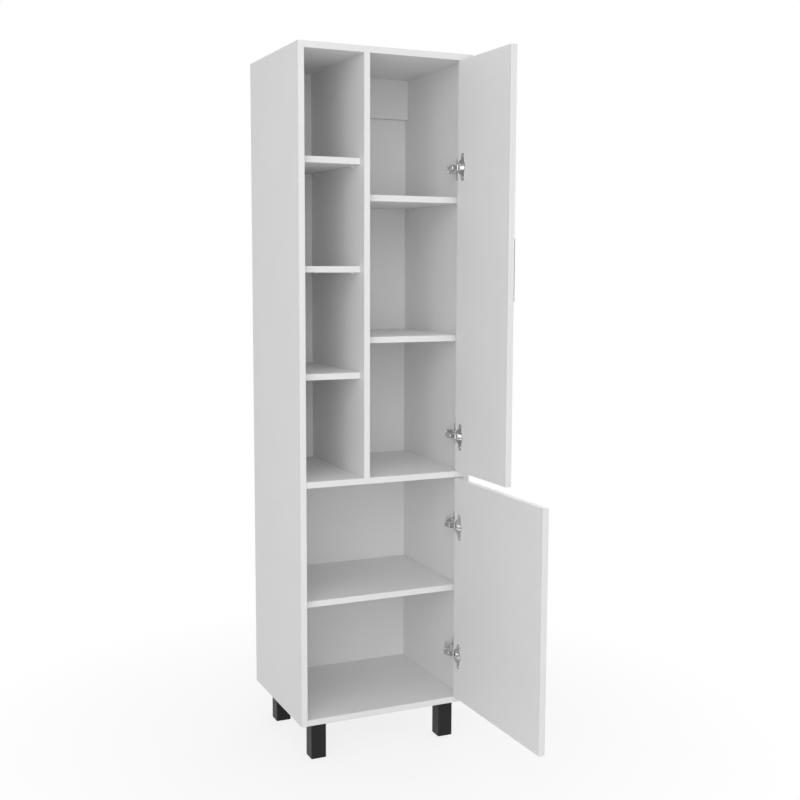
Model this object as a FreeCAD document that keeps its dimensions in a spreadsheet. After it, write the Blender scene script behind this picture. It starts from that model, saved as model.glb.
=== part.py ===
"""Tall linen cabinet: open cubbies on the left, an upper and a lower inset door on the right.

Millimetres. X runs to the right, Y to the back and Z up. The origin lies on the floor under
the middle of the carcass. The doors stand open, as in the photograph.
"""
import FreeCAD
import Part
import os
import re
import Sketcher
from FreeCAD import Placement, Rotation, Vector

# Driving dimensions: name, value in millimetres (degrees for angles), meaning.
SIZES = [
    # carcass boards
    ("width", 445, "outside width of the carcass"),
    ("depth", 358, "outside depth of the carcass with its back panel"),
    ("height", 1700, "floor to the top of the carcass"),
    ("board", 15, "thickness of every board"),
    ("back_thickness", 3, "thickness of the back panel"),
    ("carcass_lift", 94, "floor to the underside of the carcass"),
    ("lower_clear", 565.5, "clear height behind the lower door"),
    ("cubby_clear", 147, "clear width of the open column"),
    ("shelf_setback", 26, "shelves stand back from the front by this"),
    ("shelf_play", 0.5, "gap at each end and at the back of a loose shelf"),
    ("base_shelf_drop", 5.5, "base shelf below the even spacing"),
    ("rail_height", 102, "height of the rail under the top panel"),
    ("edge_ease", 0.7, "chamfer of the banded edges"),
    # board fasteners
    ("fit", 0.1, "radial clearance of a fastener in its hole"),
    ("spare", 0.5, "depth of a blind hole beyond what it holds"),
    ("overrun", 2, "length of a cut beyond the face that it opens"),
    ("cam_radius", 7.5, "radius of a cam lock"),
    ("cam_height", 12.2, "height of a cam lock"),
    ("cam_slot_width", 2, "width of a cam lock's screwdriver slot"),
    ("cam_slot_depth", 2.5, "depth of a cam lock's screwdriver slot"),
    ("cam_setback", 34, "board end to the middle of the cam lock"),
    ("cam_inset", 100, "front or back edge of a board to its cam bolt"),
    ("bolt_radius", 3, "radius of a cam bolt"),
    ("bolt_bite", 10.5, "length of a cam bolt in the face of a board"),
    ("bolt_head", 2, "length of a cam bolt beyond the middle of its cam lock"),
    ("dowel_radius", 4, "radius of a wood dowel"),
    ("dowel_length", 30, "length of a wood dowel"),
    ("dowel_bite", 10, "length of dowel in the face of a board"),
    ("rail_dowel_drop", 67, "top of the rail to its dowel"),
    ("rail_bolt_drop", 35, "top of the rail to its cam bolt"),
    ("pin_radius", 2.5, "radius of a shelf pin"),
    ("pin_length", 16, "length of a shelf pin"),
    ("pin_bite", 8, "length of a shelf pin in its board"),
    ("pin_inset", 37, "front or back of a shelf to its pin"),
    # legs
    ("leg_side", 38, "side of a square leg"),
    ("leg_inset_side", 31.5, "carcass side to the leg"),
    ("leg_inset_front", 19.5, "carcass front to the front legs"),
    ("leg_inset_back", 36.5, "carcass back to the rear legs"),
    ("leg_ease", 1.5, "chamfer of the leg's long edges"),
    ("leg_bolt_radius", 4, "radius of the bolt in the top of a leg"),
    ("leg_bolt_in_leg", 30, "length of the bolt in the leg"),
    ("leg_bolt_in_board", 11, "length of the bolt in the bottom panel"),
    ("glide_radius", 12, "radius of the glide under a leg"),
    ("glide_height", 1.5, "height of the glide under a leg"),
    ("glide_stem_radius", 2, "radius of a glide's stem"),
    ("glide_stem_length", 12, "length of a glide's stem"),
    # doors
    ("door_gap", 2.7, "gap at the hinge and handle edges of a shut door"),
    ("door_gap_end", 2, "gap over and under a shut door"),
    ("door_angle", 90.8, "degrees that the doors stand open"),
    ("handle_length", 150, "bow handle, end to end"),
    ("handle_projection", 34, "bow handle, door face to its outside"),
    ("handle_width", 10, "bow handle, across"),
    ("handle_bar", 7, "bow handle, thickness of the grip"),
    ("handle_post", 12, "bow handle, thickness of its posts"),
    ("handle_round", 5, "bow handle, radius of its outer corners"),
    ("handle_ease", 0.8, "bow handle, chamfer of its edges"),
    ("handle_setback", 59, "free edge of the door to the middle of the handle"),
    # hinges: where their pivots lie with the door shut, and how far the links turn
    ("upper_hinge_drop", 251, "top of the upper door to its top hinge"),
    ("upper_hinge_rise", 87, "bottom of the upper door to its bottom hinge"),
    ("lower_hinge_drop", 120, "top of the lower door to its top hinge"),
    ("lower_hinge_rise", 112, "bottom of the lower door to its bottom hinge"),
    ("outer_pivot_in", 36.27, "side panel to the outer link's pivot on the arm"),
    ("outer_pivot_back", 22.89, "carcass front to the outer link's pivot on the arm"),
    ("outer_cup_edge", 4, "door edge to the outer link's pivot on the cup"),
    ("outer_cup_rise", 2.8, "door inner face to the outer link's pivot on the cup"),
    ("outer_turn_share", 0.7, "turn of the outer link for a unit turn of the door"),
    ("inner_pivot_in", 32.32, "side panel to the inner link's pivot on the arm"),
    ("inner_pivot_back", 10.06, "carcass front to the inner link's pivot on the arm"),
    ("inner_cup_edge", 8.34, "door edge to the inner link's pivot on the cup"),
    ("inner_cup_drop", 1.34, "door inner face down to the inner link's pivot on the cup"),
    ("inner_turn_share", 0.84, "turn of the inner link for a unit turn of the door"),
    # hinges: layers across their width
    ("hinge_pin", 1.25, "radius of a hinge pin"),
    ("pivot_fit", 0.05, "radial clearance of a hinge pin"),
    ("layer_gap", 0.2, "gap between the layers of a hinge"),
    ("tongue_half", 2.4, "half width of the arm's tongue"),
    ("cheek", 1.8, "thickness of a link's cheek"),
    ("lug_thickness", 1.6, "thickness of a cup's lug"),
    # hinges: cup
    ("cup_radius", 17.5, "radius of a hinge cup"),
    ("cup_depth", 11, "depth of a hinge cup in its door"),
    ("cup_edge", 4, "door edge to the bore of the cup"),
    ("cup_floor", 1, "thickness of the cup under its pocket"),
    ("cup_rim", 0.6, "wall between the cup's edge and its pocket"),
    ("cup_heel", 3, "wall between the pocket and the far edge of the cup"),
    ("flange_lip", 1, "flange beyond the cup"),
    ("flange_thickness", 1.2, "thickness of the cup's flange"),
    ("ear_half", 7.5, "half breadth of the flange's screw ears"),
    ("ear_corner", 4.5, "cut corner of an ear"),
    ("ear_reach", 32.5, "middle of the cup to the end of an ear"),
    ("ear_setback", 6, "middle of the cup to the line of its screws"),
    ("lug_radius", 2.5, "radius of the lug of the outer link's pivot"),
    ("lug_foot", 8, "length of the lug on the flange"),
    ("lug_heel", 1, "lug below its pivot at the far end of its foot"),
    # hinges: links
    ("outer_eye", 2.5, "radius of the outer link's eye on the arm"),
    ("outer_half", 2, "half breadth of the outer link and its eye on the cup"),
    ("bridge_start_share", 0.72, "start of the bridge between the outer link's cheeks"),
    ("bridge_end_share", 0.9, "end of the bridge between the outer link's cheeks"),
    ("bridge_rise", 2.6, "outer link's middle to the middle of its bridge"),
    ("bridge_half", 0.6, "half thickness of the bridge"),
    ("inner_eye", 2.2, "radius of the inner link's eye on the arm"),
    ("inner_half", 1.5, "half breadth of the inner link"),
    ("inner_fork", 4.4, "reach of the inner link's fork round the arm's tongue"),
    ("hook_edge", 9.8, "door edge to the hook of the inner link"),
    ("hook_drop", 5.8, "door inner face down to the hook of the inner link"),
    ("lever_end_edge", 8.6, "door edge to the free end of the inner link"),
    ("lever_end_drop", 2.3, "door inner face down to the free end of the inner link"),
    # hinges: arm and mounting plate
    ("nose_half", 2.3, "half thickness of the arm's nose"),
    ("nose_share", 0.55, "start of the nose's full width, from the inner to the outer pivot"),
    ("arm_half", 8.5, "half width of the arm"),
    ("arm_sheet", 1.6, "thickness of the arm's sheet"),
    ("arm_bend_in", 34, "side panel to the arm's first bend"),
    ("arm_bend_back", 31, "carcass front to the arm's first bend"),
    ("arm_crank_back", 46, "carcass front to the arm's second bend"),
    ("arm_end_back", 68, "carcass front to the end of the arm"),
    ("arm_stand", 14, "side panel to the outside of the arm"),
    ("arm_skirt", 9, "depth of the arm's sides"),
    ("plate_thickness", 2, "thickness of the mounting plate's wings"),
    ("plate_front", 26, "carcass front to the mounting plate's wings"),
    ("plate_length", 22, "length of the wings along the side panel"),
    ("plate_half", 29, "half height of the wings"),
    ("plate_corner", 6, "cut corners of the wings"),
    ("block_half", 6.4, "half width of the mounting plate's block"),
    ("block_front", 33, "carcass front to the block"),
    ("block_back", 64, "carcass front to the end of the block"),
]
NAMES = {name for name, _, _ in SIZES}

doc = FreeCAD.newDocument("linen_cabinet")
sheet = doc.addObject("Spreadsheet::Sheet", "sizes")
for row, (name, number, meaning) in enumerate(SIZES, start=1):
    sheet.set(f"A{row}", meaning)
    sheet.set(f"B{row}", str(number))
    sheet.setAlias(f"B{row}", name)
doc.recompute()

nodes = {}
home = {}
AXES = {"x": ("YZ_Plane", 1), "y": ("XZ_Plane", -1), "z": ("XY_Plane", 1)}
ACROSS = {"x": (1, 2), "y": (0, 2), "z": (0, 1)}
UP = Vector(0, 0, 1)
# Round pieces are many-sided: few sides where the carcass hides them, more where they show.
HIDDEN_SIDES = 8
PIVOT_SIDES = 12
SHOWN_SIDES = 24
CORNER_ANGLES = (0, 30, 60, 90)


def full(expression):
    """The expression with each size's name pointed at the sheet."""
    def point(match):
        word = match.group()
        return f"sizes.{word}" if word in NAMES else word
    return re.sub(r"[A-Za-z_][A-Za-z0-9_]*", point, str(expression))


def value(expression):
    """The number that an expression in the sheet's names comes to."""
    return float(sheet.evalExpression(full(expression)))


def bind(item, expressions):
    """Tie properties of an object to expressions in the sheet's names."""
    for path, expression in expressions.items():
        item.setExpression(path, full(expression))


def settle(item, spot, turn="0"):
    """Tie an object's place, and its turn about Z, to expressions."""
    for axis, expression in zip("xyz", spot):
        bind(item, {f".Placement.Base.{axis}": expression})
    bind(item, {".Placement.Rotation.Angle": turn})


def less(spot, base):
    """A place given in the cabinet with its doors shut, as seen from a part's own origin."""
    return tuple(f"({one}) - ({other})" for one, other in zip(spot, base))


def new_body(label, origin):
    """An empty body whose own origin lies at a place in the cabinet with its doors shut."""
    body = doc.addObject("PartDesign::Body", label)
    body.Label = label
    nodes[label] = body
    home[label] = origin
    return body


def new_sketch(body, axis, level="0"):
    """A sketch across an axis of its body, at a level along that axis."""
    role, normal = AXES[axis]
    plane = next(item for item in body.Origin.OriginFeatures if item.Role == role)
    sketch = body.newObject("Sketcher::SketchObject", f"{body.Label}_sketch")
    sketch.AttachmentSupport = [(plane, "")]
    sketch.MapMode = "FlatFace"
    bind(sketch, {".AttachmentOffset.Base.z": f"{normal} * ({level})"})
    return sketch


def polygon(sketch, corners):
    """A closed outline with every corner tied to expressions from the sketch's origin."""
    spots = [Vector(value(across), value(along), 0) for across, along in corners]
    first = sketch.GeometryCount
    count = len(spots)
    lines = [Part.LineSegment(spots[index - 1], spots[index]) for index in range(count)]
    sketch.addGeometry(lines, False)
    rules = []
    ties = {}
    for index, corner in enumerate(corners):
        following = first + (index + 1) % count
        rules.append(Sketcher.Constraint("Coincident", first + index, 2, following, 1))
        for kind, number, expression in zip(("DistanceX", "DistanceY"), spots[index], corner):
            ties[sketch.ConstraintCount + len(rules)] = expression
            rules.append(Sketcher.Constraint(kind, -1, 1, first + index, 2, number))
    sketch.addConstraint(rules)
    bind(sketch, {f"Constraints[{index}]": expression for index, expression in ties.items()})


def rectangle(sketch, low, high):
    """An upright rectangle between two corners."""
    polygon(sketch, [low, (high[0], low[1]), high, (low[0], high[1])])


def ring(sketch, spot, radius, sides=HIDDEN_SIDES):
    """A regular many-sided outline with its corners on a circle tied to expressions."""
    corners = []
    for number in range(sides):
        angle = 360 * number / sides
        across = f"{spot[0]} + ({radius}) * cos({angle})"
        along = f"{spot[1]} + ({radius}) * sin({angle})"
        corners.append((across, along))
    polygon(sketch, corners)


def pad(body, sketch, length, reverse=False):
    """Material from a sketch, along its normal unless reversed."""
    feature = body.newObject("PartDesign::Pad", f"{body.Label}_pad")
    feature.Profile = sketch
    feature.Reversed = reverse
    bind(feature, {"Length": length})
    doc.recompute()


def pocket(body, sketch, length, reverse=False):
    """A cut from a sketch, against its normal unless reversed."""
    feature = body.newObject("PartDesign::Pocket", f"{body.Label}_pocket")
    feature.Profile = sketch
    feature.Reversed = reverse
    bind(feature, {"Length": length})
    doc.recompute()


def ease(body, size, test):
    """Chamfer those edges of a body that pass a test."""
    solid = body.Tip
    found = [f"Edge{number}" for number, edge in enumerate(solid.Shape.Edges, 1) if test(edge)]
    feature = body.newObject("PartDesign::Chamfer", f"{body.Label}_chamfer")
    feature.Base = (solid, found)
    bind(feature, {"Size": size})
    doc.recompute()


def runs_along(edge, axis):
    """True for a straight edge along an axis."""
    start, end = edge.Vertexes[0].Point, edge.Vertexes[-1].Point
    return all(abs(end[other] - start[other]) < edge.Length / 1000 for other in ACROSS[axis])


def lies_at(edge, axis, expression):
    """True for an edge whose ends are level with an expression along an axis."""
    index = "xyz".index(axis)
    level = value(expression)
    return all(abs(vertex.Point[index] - level) < value("fit") for vertex in edge.Vertexes)


def board(label, low, size, thin, origin=None):
    """A board: its outline drawn across the thin axis and padded to its thickness."""
    body = new_body(label, origin or low)
    near = less(low, home[label])
    far = tuple(f"{start} + {length}" for start, length in zip(near, size))
    index = "xyz".index(thin)
    one, other = ACROSS[thin]
    sketch = new_sketch(body, thin, near[index])
    rectangle(sketch, (near[one], near[other]), (far[one], far[other]))
    pad(body, sketch, size[index], reverse=thin == "y")
    settle(body, home[label])
    return body


def drill(body, axis, face, into, spots, radius, depth, sides=HIDDEN_SIDES):
    """Holes from a face, along or against an axis; places in the cabinet with its doors shut."""
    own = home[body.Label]
    index = "xyz".index(axis)
    sketch = new_sketch(body, axis, f"({face}) - ({own[index]})")
    for spot in spots:
        near = [f"({place}) - ({own[other]})" for place, other in zip(spot, ACROSS[axis])]
        ring(sketch, near, radius, sides)
    pocket(body, sketch, depth, reverse=AXES[axis][1] == into)


def stacked(label, steps):
    """The pattern of a fastener that stands on the origin: radius, length and sides of each step."""
    body = doc.addObject("PartDesign::Body", label)
    body.Label = label
    level = "0"
    for radius, length, sides in steps:
        sketch = new_sketch(body, "z", level)
        ring(sketch, ("0", "0"), radius, sides)
        pad(body, sketch, length)
        level = f"{level} + {length}"
    return body


def pointing(way):
    """The turn that points a pattern's foot-to-top axis along a way."""
    return Rotation(UP, Vector(*way))


def group(label, pattern, spots):
    """Copies of a pattern as one part: the place and the turn of each."""
    copies = []
    for spot, turn in spots:
        centre = Vector(*(value(place) for place in spot))
        copy = pattern.Shape.copy()
        copy.Placement = Placement(centre, turn).multiply(copy.Placement)
        copies.append(copy)
    item = doc.addObject("Part::Feature", label)
    item.Label = label
    item.Shape = Part.makeCompound(copies)
    nodes[label] = item


def bar(start, end, half, low, high):
    """A straight bar between two points seen from above, from a low to a high level."""
    along, aside = (f"({two}) - ({one})" for one, two in zip(start, end))
    slope = f"atan2({aside}; {along})"
    item = doc.addObject("Part::Box", "bar")
    bind(item, {"Length": f"hypot({along}; {aside})"})
    bind(item, {"Width": f"2 * ({half})", "Height": f"({high}) - ({low})"})
    corner = (f"{start[0]} + {half} * sin({slope})", f"{start[1]} - {half} * cos({slope})", low)
    settle(item, corner, slope)
    return item


def rod(spot, radius, low, high):
    """An upright rod from a low to a high level, its corners on a circle."""
    item = doc.addObject("Part::Prism", "rod")
    item.Polygon = PIVOT_SIDES
    bind(item, {"Circumradius": radius, "Height": f"({high}) - ({low})"})
    settle(item, (spot[0], spot[1], low))
    return item


def block(low, high):
    """An upright block between two corners."""
    item = doc.addObject("Part::Box", "block")
    for side, start, end in zip(("Length", "Width", "Height"), low, high):
        bind(item, {side: f"({end}) - ({start})"})
    settle(item, low)
    return item


def joined(pieces):
    """One solid from several."""
    item = doc.addObject("Part::MultiFuse", "joined")
    item.Shapes = pieces
    item.Refine = True
    return item


def carved(base, tools):
    """A solid less its tools."""
    item = doc.addObject("Part::Cut", "carved")
    item.Base = base
    item.Tool = joined(tools) if len(tools) > 1 else tools[0]
    item.Refine = True
    return item


def finished(label, item, spot, turn="0"):
    """Name a solid as a part and put it in its place."""
    item.Label = label
    nodes[label] = item
    settle(item, spot, turn)


# Levels and faces of the carcass.
LEFT = "-width / 2"
RIGHT = "width / 2"
FRONT = "-depth / 2"
BACK = "depth / 2 - back_thickness"
INNER_LEFT = "-width / 2 + board"
INNER_RIGHT = "width / 2 - board"
DIVIDER_LEFT = "-width / 2 + board + cubby_clear"
DIVIDER_RIGHT = "-width / 2 + 2 * board + cubby_clear"
FLOOR_TOP = "carcass_lift + board"
MIDDLE = "carcass_lift + board + lower_clear"
MIDDLE_TOP = "carcass_lift + 2 * board + lower_clear"
CEILING = "height - board"
INSIDE = "width - 2 * board"
COLUMN = "width - 3 * board - cubby_clear"
PANEL_DEPTH = "depth - back_thickness"
UPPER_CLEAR = f"({CEILING}) - ({MIDDLE_TOP})"


def front_eased(body):
    """Take the sharpness off the long front edges of a board."""
    long_edge = value("3 * board")
    ease(body, "edge_ease", lambda edge: edge.Length > long_edge and lies_at(edge, "y", "0"))


# Carcass panels: coated boards with banded front edges, the sides full height.
panel_height = "height - carcass_lift"
side_size = ("board", PANEL_DEPTH, panel_height)
left_side = board("left_side_panel", (LEFT, FRONT, "carcass_lift"), side_size, "x")
right_side = board("right_side_panel", (INNER_RIGHT, FRONT, "carcass_lift"), side_size, "x")
flat_size = (INSIDE, PANEL_DEPTH, "board")
top_panel = board("top_panel", (INNER_LEFT, FRONT, CEILING), flat_size, "z")
bottom_panel = board("bottom_panel", (INNER_LEFT, FRONT, "carcass_lift"), flat_size, "z")
middle_panel = board("middle_panel", (INNER_LEFT, FRONT, MIDDLE), flat_size, "z")
divider_size = ("board", PANEL_DEPTH, UPPER_CLEAR)
divider = board("vertical_divider", (DIVIDER_LEFT, FRONT, MIDDLE_TOP), divider_size, "x")
rail_low = "height - board - rail_height"
rail_front = "depth / 2 - back_thickness - board"
rail_size = (COLUMN, "board", "rail_height")
back_rail = board("back_rail", (DIVIDER_RIGHT, rail_front, rail_low), rail_size, "y")
back_size = ("width", "back_thickness", panel_height)
back_panel = board("back_panel", (LEFT, BACK, "carcass_lift"), back_size, "y")
for panel in (left_side, right_side, top_panel, bottom_panel, middle_panel, divider):
    front_eased(panel)

# Loose shelves, each on four pins: evenly spaced, but the base shelf a little lower.
shelf_depth = "depth - back_thickness - shelf_setback - shelf_play"
shelf_rows = [
    ("cubby_shelf", 3, INNER_LEFT, "cubby_clear", MIDDLE_TOP, UPPER_CLEAR, "0", left_side, divider),
    ("upper_shelf", 2, DIVIDER_RIGHT, COLUMN, MIDDLE_TOP, UPPER_CLEAR, "0", divider, right_side),
    ("base_shelf", 1, INNER_LEFT, INSIDE, FLOOR_TOP, "lower_clear", "base_shelf_drop",
     left_side, right_side),
]
pin_spots = []
pin_holes = {}
for stem, count, start, span, floor_level, clear, drop, wall_left, wall_right in shelf_rows:
    cell = f"(({clear}) - {count} * board) / {count + 1}"
    for number in range(1, count + 1):
        label = stem if count == 1 else f"{stem}_{number}"
        level = f"{floor_level} + {number} * {cell} + {number - 1} * board - {drop}"
        corner = (f"{start} + shelf_play", f"{FRONT} + shelf_setback", level)
        shelf = board(label, corner, (f"{span} - 2 * shelf_play", shelf_depth, "board"), "z")
        front_eased(shelf)
        for pin_y in (f"{FRONT} + shelf_setback + pin_inset", f"{BACK} - shelf_play - pin_inset"):
            pin_z = f"{level} - pin_radius"
            end = f"{start} + {span}"
            pin_spots.append(((f"{start} - pin_bite", pin_y, pin_z), pointing((1, 0, 0))))
            pin_spots.append(((f"{end} + pin_bite", pin_y, pin_z), pointing((-1, 0, 0))))
            pin_holes.setdefault((wall_left.Label, start, -1), []).append((pin_y, pin_z))
            pin_holes.setdefault((wall_right.Label, end, 1), []).append((pin_y, pin_z))
for (label, face, into), spots in pin_holes.items():
    drill(nodes[label], "x", face, into, spots, "pin_radius + fit", "pin_bite + spare")
group("shelf_pins", stacked("shelf_pin", [("pin_radius", "pin_length", HIDDEN_SIDES)]), pin_spots)

# Cam joints: a bolt in the face of one board, a cam and a dowel in the end of the other.
cam_spots = []
bolt_spots = []
dowel_spots = []


def cam_joint(ended, faced, axis, joint, into, places, dowels, cam_axis, cam_face, cam_into):
    """One end of a board: holes for bolts, cams and dowels in both boards, and their places."""
    index = "xyz".index(axis)
    cam_index = "xyz".index(cam_axis)
    way = [0, 0, 0]
    way[index] = into
    cam_way = [0, 0, 0]
    cam_way[cam_index] = -cam_into
    drill(faced, axis, joint, -into, places, "bolt_radius + fit", "bolt_bite + spare")
    drill(faced, axis, joint, -into, dowels, "dowel_radius + fit", "dowel_bite + spare")
    drill(ended, axis, joint, into, places, "bolt_radius + fit", "cam_setback")
    dowel_hole = "dowel_length - dowel_bite + spare"
    drill(ended, axis, joint, into, dowels, "dowel_radius + fit", dowel_hole)
    cam_turn = Rotation(Vector(*way), Vector(), Vector(*cam_way), "ZXY")
    cam_places = []
    for place in places:
        spot = list(place)
        spot.insert(index, f"{joint} - {into} * bolt_bite")
        bolt_spots.append((spot, pointing(way)))
        spot = list(place)
        spot.insert(index, f"{joint} + {into} * cam_setback")
        cam_places.append([spot[other] for other in ACROSS[cam_axis]])
        spot[cam_index] = f"{cam_face} + {cam_into} * cam_height"
        cam_spots.append((spot, cam_turn))
    for place in dowels:
        spot = list(place)
        spot.insert(index, f"{joint} - {into} * dowel_bite")
        dowel_spots.append((spot, pointing(way)))
    drill(ended, cam_axis, cam_face, cam_into, cam_places, "cam_radius + fit", "cam_height + spare")


near_bolt = f"{FRONT} + cam_inset"
far_bolt = f"{BACK} - cam_inset"
between = f"({near_bolt} + {far_bolt}) / 2"
flat_panels = [
    (top_panel, CEILING, "height", -1),
    (middle_panel, MIDDLE, MIDDLE, 1),
    (bottom_panel, "carcass_lift", "carcass_lift", 1),
]
for panel, underside, cam_face, cam_into in flat_panels:
    centre = f"{underside} + board / 2"
    bolts = [(near_bolt, centre), (far_bolt, centre)]
    pegs = [(between, centre)]
    for side, joint, into in ((left_side, INNER_LEFT, 1), (right_side, INNER_RIGHT, -1)):
        cam_joint(panel, side, "x", joint, into, bolts, pegs, "z", cam_face, cam_into)
centre = f"{DIVIDER_LEFT} + board / 2"
bolts = [(centre, near_bolt), (centre, far_bolt)]
pegs = [(centre, between)]
for panel, joint, into in ((middle_panel, MIDDLE_TOP, 1), (top_panel, CEILING, -1)):
    cam_joint(divider, panel, "z", joint, into, bolts, pegs, "x", DIVIDER_RIGHT, -1)
centre = f"{rail_front} + board / 2"
bolts = [(centre, f"{CEILING} - rail_bolt_drop")]
pegs = [(centre, f"{CEILING} - rail_dowel_drop")]
for side, joint, into in ((divider, DIVIDER_RIGHT, 1), (right_side, INNER_RIGHT, -1)):
    cam_joint(back_rail, side, "x", joint, into, bolts, pegs, "y", BACK, -1)

bolt_length = "bolt_bite + cam_setback + bolt_head"
cam_bolt = stacked("cam_bolt", [("bolt_radius", bolt_length, HIDDEN_SIDES)])
group("cam_bolts", cam_bolt, bolt_spots)
wood_dowel = stacked("wood_dowel", [("dowel_radius", "dowel_length", HIDDEN_SIDES)])
group("wood_dowels", wood_dowel, dowel_spots)

# The cam lock: a drum with a side bore for the bolt's head and a screwdriver slot on top.
cam = stacked("cam_lock", [("cam_radius", "cam_height", HIDDEN_SIDES)])
bore = new_sketch(cam, "x", "bolt_head + spare")
ring(bore, ("0", "cam_height - board / 2"), "bolt_radius + fit")
pocket(cam, bore, "cam_radius + bolt_head + overrun")
slot = new_sketch(cam, "z", "cam_height")
slot_corner = ("cam_radius / 2", "cam_slot_width / 2")
rectangle(slot, tuple(f"-{half}" for half in slot_corner), slot_corner)
pocket(cam, slot, "cam_slot_depth")
group("cam_locks", cam, cam_spots)

# Legs: square blocks, each on a bolt in the bottom panel, with a nailed glide.
leg_size = ("leg_side", "leg_side", "carcass_lift - glide_height")
leg_bolt_hole = "leg_bolt_radius + fit"
stem_hole = "glide_stem_radius + fit"
bolt_places = []
leg_rows = {"front": f"{FRONT} + leg_inset_front", "back": "depth / 2 - leg_inset_back - leg_side"}
leg_columns = {"left": f"{LEFT} + leg_inset_side", "right": f"{RIGHT} - leg_inset_side - leg_side"}
for depth_word, leg_y in leg_rows.items():
    for side_word, leg_x in leg_columns.items():
        leg = board(f"leg_{depth_word}_{side_word}", (leg_x, leg_y, "glide_height"), leg_size, "z")
        ease(leg, "leg_ease", lambda edge: runs_along(edge, "z"))
        middle = (f"{leg_x} + leg_side / 2", f"{leg_y} + leg_side / 2")
        drill(leg, "z", "carcass_lift", -1, [middle], leg_bolt_hole, "leg_bolt_in_leg + spare")
        drill(leg, "z", "glide_height", 1, [middle], stem_hole, "glide_stem_length + spare")
        bolt_places.append(middle)
drill(bottom_panel, "z", "carcass_lift", 1, bolt_places, leg_bolt_hole, "leg_bolt_in_board + spare")
leg_bolt_length = "leg_bolt_in_leg + leg_bolt_in_board"
leg_bolt = stacked("leg_bolt", [("leg_bolt_radius", leg_bolt_length, HIDDEN_SIDES)])
leg_bolt_foot = "carcass_lift - leg_bolt_in_leg"
group("leg_bolts", leg_bolt, [((*spot, leg_bolt_foot), Rotation()) for spot in bolt_places])
glide = stacked("glide", [
    ("glide_radius", "glide_height", SHOWN_SIDES),
    ("glide_stem_radius", "glide_stem_length", HIDDEN_SIDES),
])
group("leg_glides", glide, [((*spot, "0"), Rotation()) for spot in bolt_places])

# Hinge pivots with the doors shut, the turns of the links, and where an open door's pivot lies.
OUTER_FIXED = (f"{INNER_RIGHT} - outer_pivot_in", f"{FRONT} + outer_pivot_back")
INNER_FIXED = (f"{INNER_RIGHT} - inner_pivot_in", f"{FRONT} + inner_pivot_back")
DOOR_EDGE = f"{INNER_RIGHT} - door_gap"
DOOR_FACE = f"{FRONT} + board"
OUTER_CUP = (f"{DOOR_EDGE} - outer_cup_edge", f"{DOOR_FACE} + outer_cup_rise")
INNER_CUP = (f"{DOOR_EDGE} - inner_cup_edge", f"{DOOR_FACE} - inner_cup_drop")
HOOK = (f"{DOOR_EDGE} - hook_edge", f"{DOOR_FACE} - hook_drop")
LEVER_END = (f"{DOOR_EDGE} - lever_end_edge", f"{DOOR_FACE} - lever_end_drop")
OUTER_TURN = "-outer_turn_share * door_angle"
INNER_TURN = "-inner_turn_share * door_angle"
reach, rise = less(OUTER_CUP, OUTER_FIXED)
OPEN_PIVOT = (
    f"{OUTER_FIXED[0]} + cos({OUTER_TURN}) * ({reach}) - sin({OUTER_TURN}) * ({rise})",
    f"{OUTER_FIXED[1]} + sin({OUTER_TURN}) * ({reach}) + cos({OUTER_TURN}) * ({rise})",
)
INNER_LOW = "(tongue_half + layer_gap)"
INNER_HIGH = "(tongue_half + layer_gap + cheek)"
OUTER_LOW = "(tongue_half + 2 * layer_gap + cheek)"
OUTER_HIGH = "(tongue_half + 2 * layer_gap + 2 * cheek)"
POCKET_HALF = "(tongue_half + 3 * layer_gap + 2 * cheek)"
CUP_MIDDLE = f"{DOOR_EDGE} - cup_edge - cup_radius"
EAR_MIDDLE = f"{CUP_MIDDLE} - ear_setback"


def open_door(item, level):
    """Stand a part of a door, drawn about the door's pivot, in the photographed pose."""
    settle(item, (*OPEN_PIVOT, level), "door_angle")


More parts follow.
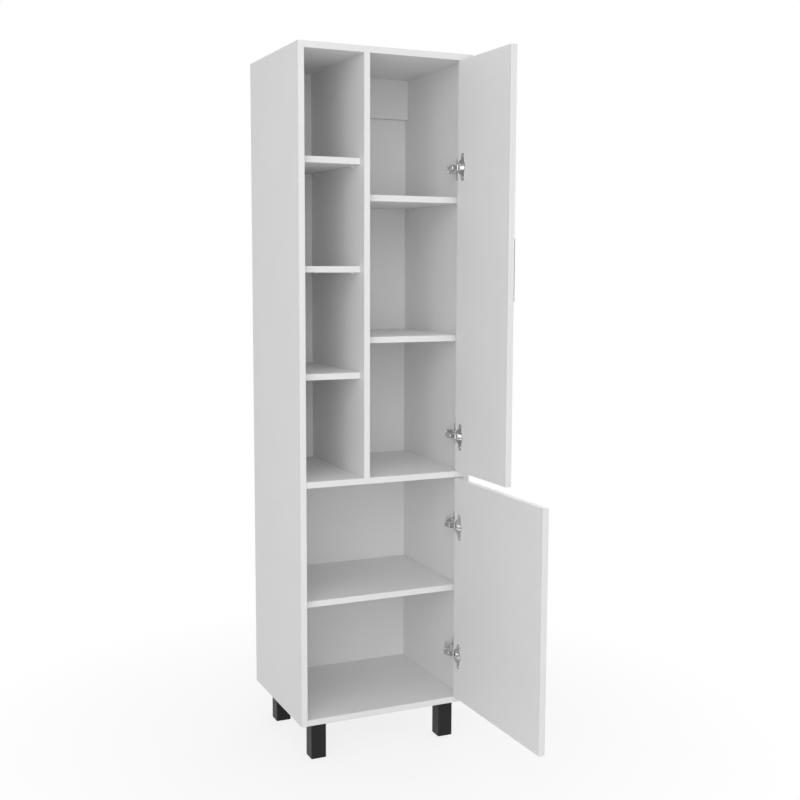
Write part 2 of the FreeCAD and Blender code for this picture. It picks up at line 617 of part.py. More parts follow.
# Doors: one board each, bored for two hinge cups, with a bow handle near the free edge.
hinge_spots = {}
doors = [
    ("upper", DIVIDER_RIGHT, MIDDLE_TOP, CEILING),
    ("lower", INNER_LEFT, FLOOR_TOP, MIDDLE),
]
for stem, opening_left, opening_low, opening_high in doors:
    free_edge = f"{opening_left} + door_gap"
    low = f"{opening_low} + door_gap_end"
    high = f"{opening_high} - door_gap_end"
    size = (f"({DOOR_EDGE}) - ({free_edge})", "board", f"({high}) - ({low})")
    origin = (*OUTER_CUP, low)
    door = board(f"{stem}_door", (free_edge, FRONT, low), size, "y", origin)
    ease(door, "edge_ease", lambda edge: True)
    levels = {
        f"{stem}_top": f"{high} - {stem}_hinge_drop",
        f"{stem}_bottom": f"{low} + {stem}_hinge_rise",
    }
    hinge_spots.update(levels)
    cups = [(CUP_MIDDLE, level) for level in levels.values()]
    drill(door, "y", DOOR_FACE, -1, cups, "cup_radius + fit", "cup_depth + spare", SHOWN_SIDES)
    open_door(door, low)

    handle_x = f"{free_edge} + handle_setback"
    handle_z = f"({low} + {high}) / 2"
    handle = new_body(f"{stem}_handle", origin)
    corner = (f"{handle_x} - handle_width / 2", FRONT, f"{handle_z} - handle_length / 2")
    left, face, foot = less(corner, origin)
    crown = f"{foot} + handle_length"
    outside = f"{face} - handle_projection"
    grip = f"{outside} + handle_bar"
    bow = new_sketch(handle, "x", left)
    turns = [(f"(1 - sin({angle}))", f"(1 - cos({angle}))") for angle in CORNER_ANGLES]
    lower_turn = []
    upper_turn = []
    for out, up in turns:
        lower_turn.append((f"{outside} + handle_round * {out}", f"{foot} + handle_round * {up}"))
        upper_turn.append((f"{outside} + handle_round * {out}", f"{crown} - handle_round * {up}"))
    polygon(bow, [
        (face, foot), *lower_turn, *reversed(upper_turn), (face, crown),
        (face, f"{crown} - handle_post"), (grip, f"{crown} - handle_post"),
        (grip, f"{foot} + handle_post"), (face, f"{foot} + handle_post"),
    ])
    pad(handle, bow, "handle_width")
    ease(handle, "handle_ease", lambda edge: (
        not runs_along(edge, "x") and not lies_at(edge, "y", face)))
    open_door(handle, low)

# Hinge cups: a cast drum with a pocket for the links, a flange with screw ears, two pivot lugs,
# and the stub pins that the links turn on. The inner link stops short of its own two stubs.
STUB_START = f"({OUTER_LOW} + pivot_fit)"
for name, level in hinge_spots.items():
    cup = new_body(f"hinge_cup_{name}", (*OUTER_CUP, level))
    middle, face = less((CUP_MIDDLE, DOOR_FACE), OUTER_CUP)
    ear_line = f"({EAR_MIDDLE}) - ({OUTER_CUP[0]})"
    top = f"{face} + flange_thickness"
    drum = new_sketch(cup, "y", face)
    ring(drum, (middle, "0"), "cup_radius", SHOWN_SIDES)
    pad(cup, drum, "cup_depth")
    disc = new_sketch(cup, "y", face)
    ring(disc, (middle, "0"), "cup_radius + flange_lip", SHOWN_SIDES)
    pad(cup, disc, "flange_thickness", reverse=True)
    ears = new_sketch(cup, "y", face)
    quarter = [("ear_half", "ear_reach - ear_corner"), ("ear_half - ear_corner", "ear_reach")]
    outline = [(f"{ear_line} + {across}", f"-({along})") for across, along in reversed(quarter)]
    outline += [(f"{ear_line} + {across}", along) for across, along in quarter]
    outline += [(f"{ear_line} - ({across})", along) for across, along in reversed(quarter)]
    outline += [(f"{ear_line} - ({across})", f"-({along})") for across, along in quarter]
    polygon(ears, outline)
    pad(cup, ears, "flange_thickness", reverse=True)
    for side in (-1, 1):
        lug = new_sketch(cup, "z", f"{side} * {POCKET_HALF}")
        foot_line = [("-lug_foot", "-lug_heel"), ("-lug_foot", "-lug_radius")]
        polygon(lug, [*foot_line, ("0", "-lug_radius"), ("0", "lug_radius")])
        pad(cup, lug, "lug_thickness", reverse=side < 0)
        eye = new_sketch(cup, "z", f"{side} * {POCKET_HALF}")
        ring(eye, ("0", "0"), "lug_radius", PIVOT_SIDES)
        pad(cup, eye, "lug_thickness", reverse=side < 0)
    well = new_sketch(cup, "y", top)
    near_wall = f"{middle} + cup_radius - cup_rim"
    far_wall = f"{middle} - cup_radius + cup_heel"
    rectangle(well, (far_wall, f"-{POCKET_HALF}"), (near_wall, POCKET_HALF))
    pocket(cup, well, "flange_thickness + cup_depth - cup_floor", reverse=True)
    notch = new_sketch(cup, "y", top)
    outer_wall = f"{middle} + cup_radius + overrun"
    rectangle(notch, (f"{near_wall} - overrun", f"-{POCKET_HALF}"), (outer_wall, POCKET_HALF))
    pocket(cup, notch, "flange_thickness", reverse=True)
    for side in (-1, 1):
        stub = new_sketch(cup, "z", f"{side} * {OUTER_LOW}")
        ring(stub, ("0", "0"), "hinge_pin", PIVOT_SIDES)
        pad(cup, stub, f"{POCKET_HALF} - {OUTER_LOW} + lug_thickness", reverse=side < 0)
        stub = new_sketch(cup, "z", f"{side} * {STUB_START}")
        ring(stub, less(INNER_CUP, OUTER_CUP), "hinge_pin", PIVOT_SIDES)
        pad(cup, stub, f"{POCKET_HALF} - {STUB_START} + spare", reverse=side < 0)
    open_door(cup, level)

# Hinge links: the outer one a forked pressing, the inner one a hooked lever. Their bores clear the
# corners of the pins at any turn.
PIVOT_BORE = f"(hinge_pin + pivot_fit) / cos({180 / PIVOT_SIDES})"
for name, level in hinge_spots.items():
    tip = less(OUTER_CUP, OUTER_FIXED)
    zero = ("0", "0")
    low, high = f"-{OUTER_HIGH}", OUTER_HIGH
    slope = f"atan2({tip[1]}; {tip[0]})"

    def beside(share, rise):
        """A point a share of the way along the outer link and some way off to its side."""
        across = f"{share} * ({tip[0]}) - {rise} * sin({slope})"
        along = f"{share} * ({tip[1]}) + {rise} * cos({slope})"
        return (across, along)

    web_start = beside("bridge_start_share", "bridge_rise / 2")
    web_end = beside("bridge_end_share", "bridge_rise / 2")
    cheeks = joined([
        bar(zero, tip, "outer_half", low, high),
        rod(zero, "outer_eye", low, high),
        rod(tip, "outer_half", low, high),
        bar(web_start, web_end, "(bridge_rise / 2 + bridge_half)", low, high),
    ])
    window = block(("-outer_pivot_in", "-outer_pivot_in", f"-{OUTER_LOW}"),
                   ("outer_pivot_in", "outer_pivot_in", OUTER_LOW))
    bridge_start = beside("bridge_start_share", "bridge_rise")
    bridge_end = beside("bridge_end_share", "bridge_rise")
    bridge = bar(bridge_start, bridge_end, "bridge_half", low, high)
    bores = [rod(spot, PIVOT_BORE, f"{low} - overrun", f"{high} + overrun") for spot in (zero, tip)]
    outer_link = carved(joined([carved(cheeks, [window]), bridge]), bores)
    finished(f"outer_link_{name}", outer_link, (*OUTER_FIXED, level), OUTER_TURN)

    hook = less(HOOK, INNER_FIXED)
    end = less(LEVER_END, INNER_FIXED)
    low, high = f"-{INNER_HIGH}", INNER_HIGH
    lever = joined([
        rod(zero, "inner_eye", low, high),
        bar(zero, hook, "inner_half", low, high),
        rod(hook, "inner_half", low, high),
        bar(hook, end, "inner_half", low, high),
        rod(end, "inner_half", low, high),
    ])
    fork = rod(zero, "inner_fork", f"-{INNER_LOW}", INNER_LOW)
    bore = rod(zero, PIVOT_BORE, f"{low} - overrun", f"{high} + overrun")
    finished(f"inner_link_{name}", carved(lever, [fork, bore]), (*INNER_FIXED, level), INNER_TURN)

# Hinge arms, pressed from strip with the pins of the links riveted in, and the mounting plates that
# they clip over on the right side panel.
for name, level in hinge_spots.items():
    origin = (INNER_RIGHT, FRONT)
    outer = less(OUTER_FIXED, origin)
    inner = less(INNER_FIXED, origin)
    shoulder = tuple(f"{two} + nose_share * (({one}) - ({two}))" for one, two in zip(outer, inner))
    bend = ("-arm_bend_in", "arm_bend_back")
    crank = ("-arm_stand + arm_sheet / 2", "arm_crank_back")
    rear = ("-arm_stand + arm_sheet / 2", "arm_end_back")
    low, high = "-arm_half", "arm_half"
    sheet_half = "arm_sheet / 2"
    skirt_foot = ("-arm_stand + arm_skirt", "arm_end_back")
    arm = joined([
        bar(inner, outer, "nose_half", "-tongue_half", "tongue_half"),
        rod(inner, "nose_half", "-tongue_half", "tongue_half"),
        bar(shoulder, outer, "nose_half", f"-{INNER_HIGH}", INNER_HIGH),
        rod(outer, "nose_half", f"-{INNER_HIGH}", INNER_HIGH),
        bar(outer, bend, "nose_half", f"-{INNER_HIGH}", INNER_HIGH),
        rod(bend, "nose_half", low, high),
        bar(bend, crank, f"({sheet_half})", low, high),
        rod(crank, f"({sheet_half})", low, high),
        bar(crank, rear, f"({sheet_half})", low, high),
        block(("-arm_stand", "arm_crank_back", low), (*skirt_foot, f"{low} + arm_sheet")),
        block(("-arm_stand", "arm_crank_back", f"{high} - arm_sheet"), (*skirt_foot, high)),
        rod(inner, "hinge_pin", f"-{INNER_HIGH}", INNER_HIGH),
        rod(outer, "hinge_pin", f"-{OUTER_HIGH}", OUTER_HIGH),
    ])
    finished(f"hinge_arm_{name}", arm, (*origin, level))

    plate = new_body(f"hinge_plate_{name}", (*origin, level))
    wings = new_sketch(plate, "x")
    rectangle(wings, ("plate_front", "-plate_half"), ("plate_front + plate_length", "plate_half"))
    pad(plate, wings, "plate_thickness", reverse=True)
    ease(plate, "plate_corner", lambda edge: runs_along(edge, "x"))
    raised = new_sketch(plate, "x")
    rectangle(raised, ("block_front", "-block_half"), ("block_back", "block_half"))
    pad(plate, raised, "arm_stand - arm_sheet", reverse=True)
    settle(plate, (*origin, level))

doc.recompute()
for item in doc.Objects:
    if "Invalid" in item.State or "Error" in item.State:
        raise RuntimeError(f"{item.Label} failed: {item.State}")
os.makedirs("parts", exist_ok=True)
for label, item in nodes.items():
    if item.Shape.isNull() or not item.Shape.isValid():
        raise RuntimeError(f"{label} has no sound shape")
    item.Shape.exportStep(f"parts/{label}.step")
    print(label, round(item.Shape.Volume, 2), len(item.Shape.Solids))
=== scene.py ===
import math

import bmesh
import bpy
from mathutils import Matrix, Vector


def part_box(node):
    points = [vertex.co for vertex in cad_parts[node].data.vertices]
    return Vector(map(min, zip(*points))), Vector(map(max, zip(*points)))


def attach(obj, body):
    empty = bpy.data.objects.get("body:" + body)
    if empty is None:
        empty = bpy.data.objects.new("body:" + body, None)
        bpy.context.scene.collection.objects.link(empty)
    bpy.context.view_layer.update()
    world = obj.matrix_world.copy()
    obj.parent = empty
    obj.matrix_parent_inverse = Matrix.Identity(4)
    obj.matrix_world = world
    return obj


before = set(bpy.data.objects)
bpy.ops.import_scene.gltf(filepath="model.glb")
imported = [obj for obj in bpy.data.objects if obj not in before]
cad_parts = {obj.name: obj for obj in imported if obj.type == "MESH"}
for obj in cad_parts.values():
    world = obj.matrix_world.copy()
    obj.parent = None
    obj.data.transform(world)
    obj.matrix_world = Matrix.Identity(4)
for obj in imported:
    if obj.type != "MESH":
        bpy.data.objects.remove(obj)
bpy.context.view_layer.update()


# Carcass panels and loose shelves: 15 mm particle board faced on both sides with white melamine
# paper, sawn to size and banded along the front with a thin white strip. Cam locks draw the panels
# together, and the shelves lie loose on pins.
def feed(tree, socket, source):
    """Give a socket a value, or link another node's socket to it."""
    if isinstance(source, bpy.types.NodeSocket):
        tree.links.new(source, socket)
    else:
        socket.default_value = source


def node_adder(tree):
    """A function that adds nodes to a tree, with their settings and their inputs."""
    def add(kind, settings=(), *sources, **inputs):
        """One node. Its inputs come in order or by name, each as a value or as another's socket."""
        node = tree.nodes.new(kind)
        for key, setting in dict(settings).items():
            setattr(node, key, setting)
        for socket, source in zip(node.inputs, sources):
            feed(tree, socket, source)
        for key, source in inputs.items():
            wanted = key.replace("_", " ")
            socket = next(one for one in node.inputs if one.name == wanted and one.enabled)
            feed(tree, socket, source)
        return node

    return add


def blank_finish(name):
    """A new material, and functions that add nodes to it and set the inputs of its shader."""
    material = bpy.data.materials.new(name)
    material.use_nodes = True
    tree = material.node_tree
    shader = next(node for node in tree.nodes if node.type == "BSDF_PRINCIPLED")

    def shade(**inputs):
        """Set inputs of the shader by name, each to a value or to a node's socket."""
        for key, source in inputs.items():
            feed(tree, shader.inputs[key.replace("_", " ")], source)

    return material, node_adder(tree), shade


def noise(add, where, scale, detail):
    """A cloudy factor between nought and one."""
    return add("ShaderNodeTexNoise", Vector=where, Scale=scale, Detail=detail).outputs["Fac"]


def two_tone(add, factor, dark, light):
    """A colour between two tones, led by a factor."""
    ramp = add("ShaderNodeValToRGB", Fac=factor)
    ramp.color_ramp.elements[0].color = (*dark, 1)
    ramp.color_ramp.elements[1].color = (*light, 1)
    return ramp.outputs["Color"]


def between(add, factor, low, high):
    """A number between two limits, led by a factor."""
    return add("ShaderNodeMapRange", Value=factor, To_Min=low, To_Max=high).outputs["Result"]


def worn_edges(add, radius):
    """A factor that rises to one along the sharp edges of a piece."""
    soft = add("ShaderNodeBevel", {"samples": 4}, Radius=radius).outputs["Normal"]
    flat = add("ShaderNodeNewGeometry").outputs["Normal"]
    agree = add("ShaderNodeVectorMath", {"operation": "DOT_PRODUCT"}, soft, flat).outputs["Value"]
    return add("ShaderNodeMapRange", Value=agree, From_Min=0.98, From_Max=0.8).outputs["Result"]


def grey(tone):
    """A neutral colour."""
    return (tone, tone, tone)


def white_coat(name, dark, light, gloss, grain):
    """White paper, lacquer or plastic: an even white with a faint cloud and a fine tooth, and edges
    that have greyed a little in use."""
    material, add, shade = blank_finish(name)
    where = add("ShaderNodeTexCoord").outputs["Object"]
    cloud = noise(add, where, scale=5.0, detail=3.0)
    tooth = noise(add, where, scale=1400.0, detail=2.0)
    wipe = noise(add, where, scale=22.0, detail=4.0)
    edges = worn_edges(add, radius=0.0008)
    patchy = add("ShaderNodeMath", {"operation": "MULTIPLY"}, edges, wipe).outputs["Value"]
    clean = two_tone(add, cloud, dark, light)
    greyed_share = 0.8
    greyed = [greyed_share * tone for tone in dark]
    blend = add("ShaderNodeMix", {"data_type": "RGBA"}, Factor=patchy, A=clean, B=(*greyed, 1))
    bump = add("ShaderNodeBump", Strength=grain, Distance=0.0002, Height=tooth)
    shade(
        Base_Color=blend.outputs["Result"],
        Roughness=between(add, wipe, *gloss),
        Specular_IOR_Level=0.4,
        Normal=bump.outputs["Normal"],
    )
    return material


def dress(material, *names):
    """Give CAD nodes their finish."""
    for name in names:
        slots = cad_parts[name].data.materials
        slots.clear()
        slots.append(material)


BOARD_WHITE = white_coat(
    "board_white", dark=grey(0.80), light=grey(0.84), gloss=(0.42, 0.54), grain=0.12)
dress(
    BOARD_WHITE,
    "left_side_panel", "right_side_panel", "top_panel", "bottom_panel", "middle_panel",
    "vertical_divider", "back_rail", "cubby_shelf_1", "cubby_shelf_2", "cubby_shelf_3",
    "upper_shelf_1", "upper_shelf_2", "base_shelf",
)


# Board fasteners: plated zinc cam locks, plated steel cam bolts and leg bolts, and steel shelf pins
# lacquered white. They sit in bored holes. Only the pins and the slots of some cams can be seen.
def plated_metal(name, dark, light, gloss, grain, scale, stretch=(1, 1, 1)):
    """Plated metal: a cloudy plate over a drawn, brushed or cast texture, with softened edges."""
    material, add, shade = blank_finish(name)
    where = add("ShaderNodeTexCoord").outputs["Object"]
    lines = add("ShaderNodeMapping", Vector=where, Scale=stretch).outputs["Vector"]
    fine_ratio = 12.0
    cloud = noise(add, where, scale, detail=4.0)
    fine = noise(add, lines, fine_ratio * scale, detail=2.0)
    soft = add("ShaderNodeBevel", {"samples": 4}, Radius=0.0003).outputs["Normal"]
    bump = add("ShaderNodeBump", Strength=grain, Distance=0.0001, Height=fine, Normal=soft)
    shade(
        Base_Color=two_tone(add, cloud, dark, light),
        Metallic=1.0,
        Roughness=between(add, fine, *gloss),
        Normal=bump.outputs["Normal"],
    )
    return material


ZINC = plated_metal(
    "zinc_plate", dark=(0.46, 0.46, 0.47), light=(0.62, 0.62, 0.63), gloss=(0.28, 0.45),
    grain=0.1, scale=160.0)
dress(ZINC, "cam_locks", "cam_bolts", "leg_bolts")
PIN_WHITE = white_coat("pin_white", dark=grey(0.80), light=grey(0.85), gloss=(0.4, 0.5), grain=0.1)
dress(PIN_WHITE, "shelf_pins")


# Wood dowels: turned beech pegs with a straight grain, glued into the ends of the boards. They are
# wholly hidden once the carcass is put together.
def bare_beech():
    """Beech: pale brown with short darker flecks along the grain."""
    material, add, shade = blank_finish("bare_beech")
    where = add("ShaderNodeTexCoord").outputs["Object"]
    along = add("ShaderNodeMapping", Vector=where, Scale=(40.0, 400.0, 400.0)).outputs["Vector"]
    fleck = noise(add, along, scale=3.0, detail=5.0)
    bump = add("ShaderNodeBump", Strength=0.2, Distance=0.0002, Height=fleck)
    shade(
        Base_Color=two_tone(add, fleck, dark=(0.45, 0.31, 0.18), light=(0.66, 0.5, 0.33)),
        Roughness=between(add, fleck, low=0.55, high=0.75),
        Normal=bump.outputs["Normal"],
    )
    return material


dress(bare_beech(), "wood_dowels")


# Back panel: 3 mm hardboard with white lacquer on the face that shows in the compartments. Nails
# with flat heads hold it to the back edges of the sides, the top, the middle and the bottom.
def turned(profile, sides, crowned=True):
    """A turned shape, given by the radius and height of each ring. Its top may stay open."""
    shape = bmesh.new()
    rings = []
    for radius, height in profile:
        ring = []
        for number in range(sides):
            angle = 2 * math.pi * number / sides
            ring.append(shape.verts.new((radius * math.cos(angle), radius * math.sin(angle), height)))
        rings.append(ring)
    for low, high in zip(rings, rings[1:]):
        for number in range(sides):
            after = (number + 1) % sides
            shape.faces.new((low[number], low[after], high[after], high[number]))
    shape.faces.new(reversed(rings[0]))
    if crowned:
        shape.faces.new(rings[-1])
    return shape


def many_of(name, shape, places, material, body):
    """Copies of a shape as one piece that rides on a body."""
    mesh = bpy.data.meshes.new(name)
    shape.to_mesh(mesh)
    whole = bmesh.new()
    for place in places:
        start = len(whole.verts)
        whole.from_mesh(mesh)
        whole.verts.ensure_lookup_table()
        bmesh.ops.transform(whole, matrix=place, verts=whole.verts[start:])
    bmesh.ops.recalc_face_normals(whole, faces=whole.faces)
    whole.to_mesh(mesh)
    whole.free()
    for face in mesh.polygons:
        face.use_smooth = True
    mesh.set_sharp_from_angle(angle=math.radians(35))
    mesh.materials.append(material)
    piece = bpy.data.objects.new(name, mesh)
    bpy.context.collection.objects.link(piece)
    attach(piece, body)


BACK_WHITE = white_coat(
    "back_white", dark=grey(0.80), light=grey(0.85), gloss=(0.5, 0.64), grain=0.3)
dress(BACK_WHITE, "back_panel")
nail_profile = [(0.0018, 0), (0.0018, 0.0003), (0.0015, 0.0006), (0.0004, 0.0007)]
nail_head = turned(nail_profile, sides=16)
half_board = 0.0075
nails_up_a_side = 9
end_gap = 0.04
panel_nail_shares = (0.25, 0.5, 0.75)
back_low, back_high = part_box("back_panel")
nail_step = (back_high.z - back_low.z - 2 * end_gap) / (nails_up_a_side - 1)
nail_spots = []
for across in (back_low.x + half_board, back_high.x - half_board):
    for number in range(nails_up_a_side):
        nail_spots.append((across, back_low.z + end_gap + number * nail_step))
for panel in ("bottom_panel", "middle_panel", "top_panel"):
    low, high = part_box(panel)
    for share in panel_nail_shares:
        nail_spots.append((low.x + share * (high.x - low.x), (low.z + high.z) / 2))
to_the_back = Matrix.Rotation(-math.pi / 2, 4, "X")
many_of("back_panel_nails", nail_head, [
    Matrix.Translation((across, back_high.y, up)) @ to_the_back
    for across, up in nail_spots
], ZINC, "carcass")


# Legs: square solid-wood blocks, eased along their edges and sprayed satin black. A bolt in the
# top of each screws into the bottom panel.
def black_paint():
    """Satin black paint over wood: a faint grain shows through, and the edges have rubbed paler."""
    material, add, shade = blank_finish("black_paint")
    where = add("ShaderNodeTexCoord").outputs["Object"]
    along = add("ShaderNodeMapping", Vector=where, Scale=(500.0, 500.0, 30.0)).outputs["Vector"]
    grain = noise(add, along, scale=1.0, detail=4.0)
    cloud = noise(add, where, scale=30.0, detail=3.0)
    edges = worn_edges(add, radius=0.001)
    paint = two_tone(add, grain, dark=(0.013, 0.013, 0.0135), light=(0.021, 0.021, 0.0215))
    rubbed = (0.04, 0.04, 0.041, 1)
    blend = add("ShaderNodeMix", {"data_type": "RGBA"}, Factor=edges, A=paint, B=rubbed)
    bump = add("ShaderNodeBump", Strength=0.15, Distance=0.0002, Height=grain)
    shade(
        Base_Color=blend.outputs["Result"],
        Roughness=between(add, cloud, low=0.36, high=0.5),
        Specular_IOR_Level=0.2,
        Normal=bump.outputs["Normal"],
    )
    return material


dress(black_paint(), "leg_front_left", "leg_front_right", "leg_back_left", "leg_back_right")


# Glides: moulded black plastic discs, each nailed by its own stem into the end grain of a leg.
# The cabinet stands on them.
def moulded_black():
    """Moulded plastic: a dark grey with a fine spark-eroded texture."""
    material, add, shade = blank_finish("moulded_black")
    where = add("ShaderNodeTexCoord").outputs["Object"]
    pits = noise(add, where, scale=900.0, detail=2.0)
    bump = add("ShaderNodeBump", Strength=0.3, Distance=0.0002, Height=pits)
    shade(
        Base_Color=two_tone(add, pits, dark=grey(0.025), light=grey(0.045)),
        Roughness=between(add, pits, low=0.5, high=0.7),
        Normal=bump.outputs["Normal"],
    )
    return material


dress(moulded_black(), "leg_glides")

# Doors: single boards of the same white melamine, banded all round and bored for the hinge cups.
# They hang inside the carcass opening when shut, level with its front. In a door's own place the
# origin lies on the floor under its free edge, with X along its width and Y in through its board.
DOOR_WHITE = white_coat(
    "door_white", dark=grey(0.80), light=grey(0.84), gloss=(0.42, 0.54), grain=0.12)
dress(DOOR_WHITE, "upper_door", "lower_door")
door_turn = math.radians(90.8)
door_thickness = 0.015
door_places = {}
door_widths = {}
for stem in ("upper", "lower"):
    low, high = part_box(f"{stem}_door")
    corner = (high.x, low.y - math.cos(door_turn) * door_thickness, 0)
    door_places[stem] = Matrix.Translation(corner) @ Matrix.Rotation(door_turn, 4, "Z")
    door_widths[stem] = (high.y - corner[1]) / math.sin(door_turn)

# Handles: bows of square-edged alloy in brushed nickel, its tone darkened as painted shade. Each is
# held by two screws that pass through the door from its inside. Thin white plastic caps cover the
# screw heads there.
# Painted shade: these nickel tones sit far below nickel's own and stand in for dark reflections.
HANDLE_NICKEL_PAINTED_SHADE = plated_metal(
    "handle_nickel_painted_shade", dark=(0.23, 0.23, 0.235), light=(0.33, 0.33, 0.335), gloss=(0.26, 0.4),
    grain=0.15, scale=70.0, stretch=(4.0, 4.0, 0.05))
dress(HANDLE_NICKEL_PAINTED_SHADE, "upper_handle", "lower_handle")
CAP_WHITE = white_coat("cap_white", dark=grey(0.79), light=grey(0.84), gloss=(0.34, 0.46), grain=0.1)
cap_profile = [(0.0045, 0), (0.0044, 0.0002), (0.0036, 0.0004), (0.001, 0.0005)]
cap = turned(cap_profile, sides=24)
handle_setback = 0.059
half_post = 0.006
for stem, door_place in door_places.items():
    low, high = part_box(f"{stem}_handle")
    many_of(f"{stem}_handle_caps", cap, [
        door_place @ Matrix.Translation((handle_setback, door_thickness, up)) @ to_the_back
        for up in (low.z + half_post, high.z - half_post)
    ], CAP_WHITE, f"{stem}_door_leaf")


# Concealed hinges: cast cups sunk in the doors, pressed steel arms on cast plates screwed to the
# side panel, and two links between arm and cup. All are bright nickel plated, with zinc screws.
def cross_head(radius, height):
    """A pan screw head with a tapered cross recess in its flat top."""
    rim = [(radius, 0), (radius, 0.4 * height), (0.9 * radius, 0.8 * height), (0.72 * radius, height)]
    shape = turned(rim, sides=24, crowned=False)
    reach = 0.52 * radius
    half = 0.13 * radius
    deep = 0.7 * height
    taper_share = 0.7
    arm = [(reach, -half), (reach, half), (half, half)]
    outline = []
    for cosine, sine in ((1, 0), (0, 1), (-1, 0), (0, -1)):
        outline += [(cosine * x - sine * y, sine * x + cosine * y) for x, y in arm]
    mouth = [shape.verts.new((x, y, height)) for x, y in outline]
    floor = [shape.verts.new((taper_share * x, taper_share * y, height - deep)) for x, y in outline]
    count = len(outline)
    for number in range(count):
        after = (number + 1) % count
        shape.faces.new((mouth[number], mouth[after], floor[after], floor[number]))
    shape.faces.new(floor)
    open_edges = [edge for edge in shape.edges if edge.is_boundary]
    bmesh.ops.triangle_fill(shape, edges=open_edges, use_beauty=True)
    return shape


HINGE_NICKEL = plated_metal(
    "hinge_nickel", dark=grey(0.68), light=grey(0.86), gloss=(0.16, 0.3), grain=0.08, scale=90.0)
cup_screw = cross_head(radius=0.0036, height=0.0014)
plate_screw = cross_head(radius=0.0038, height=0.0016)
arm_screw = cross_head(radius=0.003, height=0.0012)
flange_thickness = 0.0012
ear_face = door_thickness + flange_thickness
cup_screw_edge = 0.0275
cup_screw_reach = 0.026
plate_thickness = 0.002
plate_screw_back = 0.037
plate_screw_reach = 0.0225
arm_stand = 0.014
arm_screw_backs = (0.0515, 0.062)
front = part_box("left_side_panel")[0].y
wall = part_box("right_side_panel")[0].x
to_the_left = Matrix.Rotation(-math.pi / 2, 4, "Y")
hinge_pieces = ("hinge_cup", "hinge_arm", "hinge_plate", "outer_link", "inner_link")
for stem in ("upper", "lower"):
    line = door_widths[stem] - cup_screw_edge
    for end in ("top", "bottom"):
        place = f"{stem}_{end}"
        dress(HINGE_NICKEL, *(f"{piece}_{place}" for piece in hinge_pieces))
        low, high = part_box(f"hinge_plate_{place}")
        middle = (low.z + high.z) / 2
        many_of(f"cup_screws_{place}", cup_screw, [
            door_places[stem] @ Matrix.Translation((line, ear_face, middle + off)) @ to_the_back
            for off in (-cup_screw_reach, cup_screw_reach)
        ], ZINC, f"{stem}_door_leaf")
        many_of(f"plate_screws_{place}", plate_screw, [
            Matrix.Translation((wall - plate_thickness, front + plate_screw_back, middle + off))
            @ to_the_left
            for off in (-plate_screw_reach, plate_screw_reach)
        ], ZINC, "carcass")
        many_of(f"arm_screws_{place}", arm_screw, [
            Matrix.Translation((wall - arm_stand, front + back, middle)) @ to_the_left
            for back in arm_screw_backs
        ], ZINC, "carcass")


# Studio: a pale floor that runs out of sight, white surroundings, and three large soft lamps: in
# front on the left, overhead, and behind on the right. Floor and surroundings show white.
def seen_straight(add):
    """One for what is seen straight, in a reflection or through glass, and nought for other light."""
    rays = add("ShaderNodeLightPath").outputs
    seen = rays["Is Camera Ray"]
    for kind in ("Is Glossy Ray", "Is Transmission Ray"):
        seen = add("ShaderNodeMath", {"operation": "MAXIMUM"}, seen, rays[kind]).outputs["Value"]
    return seen


def pale_floor():
    """A pale floor that keeps the cabinet's shadow near it and runs into white further off."""
    material, add, shade = blank_finish("pale_floor")
    shade(Base_Color=(*grey(0.86), 1), Roughness=0.9, Specular_IOR_Level=0.0)
    where = add("ShaderNodeTexCoord").outputs["Object"]
    far = add("ShaderNodeVectorMath", {"operation": "LENGTH"}, where).outputs["Value"]
    fade = add("ShaderNodeMapRange", Value=far, From_Min=0.3, From_Max=1.1, To_Min=0.8, To_Max=1.0)
    both = (seen_straight(add), fade.outputs["Result"])
    share = add("ShaderNodeMath", {"operation": "MULTIPLY"}, *both).outputs["Value"]
    white = add("ShaderNodeEmission").outputs["Emission"]
    tree = material.node_tree
    end = next(node for node in tree.nodes if node.type == "OUTPUT_MATERIAL")
    painted = end.inputs["Surface"].links[0].from_socket
    mix = add("ShaderNodeMixShader", (), share, painted, white)
    feed(tree, end.inputs["Surface"], mix.outputs["Shader"])
    return material


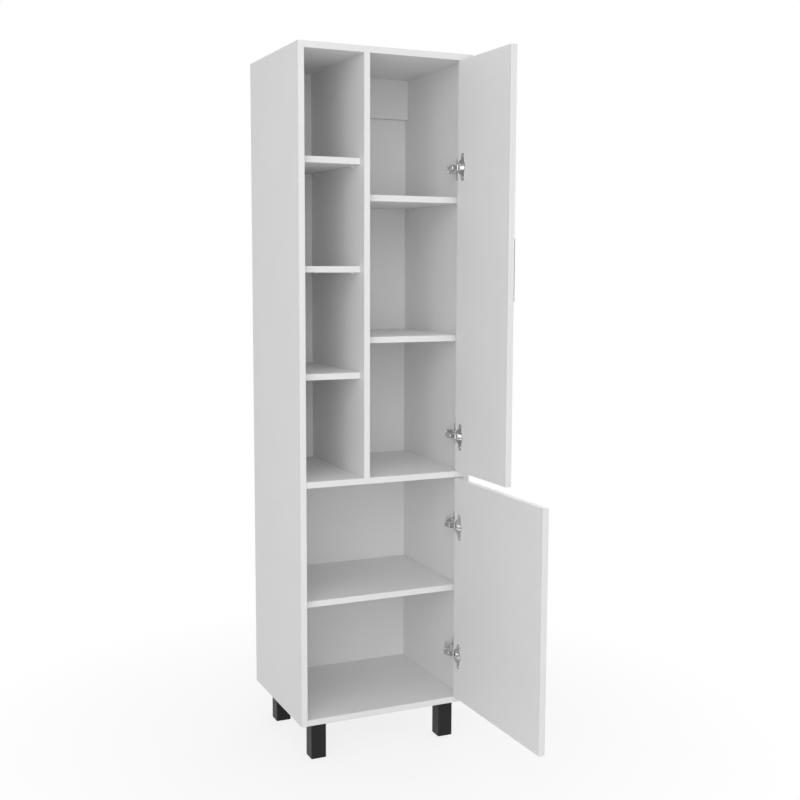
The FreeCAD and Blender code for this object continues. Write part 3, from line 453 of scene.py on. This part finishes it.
def white_surroundings():
    """Surroundings that show white and light the cabinet at a plain level."""
    world = bpy.data.worlds.new("surroundings")
    world.use_nodes = True
    world.node_tree.nodes.clear()
    add = node_adder(world.node_tree)
    light = add("ShaderNodeBackground", Color=(*grey(1), 1), Strength=0.48).outputs["Background"]
    white = add("ShaderNodeBackground", Color=(*grey(1), 1), Strength=1.0).outputs["Background"]
    mix = add("ShaderNodeMixShader", (), seen_straight(add), light, white)
    add("ShaderNodeOutputWorld", Surface=mix.outputs["Shader"])
    return world


def soft_lamp(name, spot, aim, size, watts):
    """A large square lamp that looks at a point."""
    light = bpy.data.lights.new(name, "AREA")
    light.size = size
    light.energy = watts
    lamp = bpy.data.objects.new(name, light)
    lamp.location = spot
    lamp.rotation_euler = (Vector(aim) - Vector(spot)).to_track_quat("-Z", "Y").to_euler()
    bpy.context.collection.objects.link(lamp)


floor_mesh = bpy.data.meshes.new("floor")
floor_reach = 40.0
corners = [(floor_reach * x, floor_reach * y, 0) for x, y in ((-1, -1), (1, -1), (1, 1), (-1, 1))]
floor_mesh.from_pydata(corners, [], [(0, 1, 2, 3)])
floor_mesh.materials.append(pale_floor())
floor = bpy.data.objects.new("floor", floor_mesh)
bpy.context.collection.objects.link(floor)
scene = bpy.context.scene
scene.world = white_surroundings()
scene.view_settings.view_transform = "Standard"
chest = (0.0, 0.0, 0.9)
foot = (0.0, 0.0, 0.0)
soft_lamp("front_lamp", spot=(-2.1, -3.8, 1.9), aim=chest, size=4.4, watts=105.0)
soft_lamp("over_lamp", spot=(-0.4, -0.8, 4.2), aim=foot, size=3.0, watts=15.0)
soft_lamp("back_lamp", spot=(3.0, 2.8, 2.2), aim=chest, size=3.0, watts=45.0)

# Camera: stands in front and to the left at chest height, and looks a little down, with the lens
# and place that were worked out from the photograph's straight edges.
photo_size = 800
focal_pixels = 1173.2
sensor = 36.0
camera_spot = (-1.1337, -2.7405, 1.1934)
turn_right = math.radians(24.487)
look_down = math.radians(6.469)
tilt = math.radians(-0.202)
lens = bpy.data.cameras.new("photo_camera")
lens.sensor_width = sensor
lens.lens = sensor * focal_pixels / photo_size
camera = bpy.data.objects.new("photo_camera", lens)
aimed = Matrix.Rotation(-turn_right, 4, "Z") @ Matrix.Rotation(math.pi / 2 - look_down, 4, "X")
camera.matrix_world = Matrix.Translation(camera_spot) @ aimed @ Matrix.Rotation(-tilt, 4, "Z")
bpy.context.collection.objects.link(camera)
scene.camera = camera
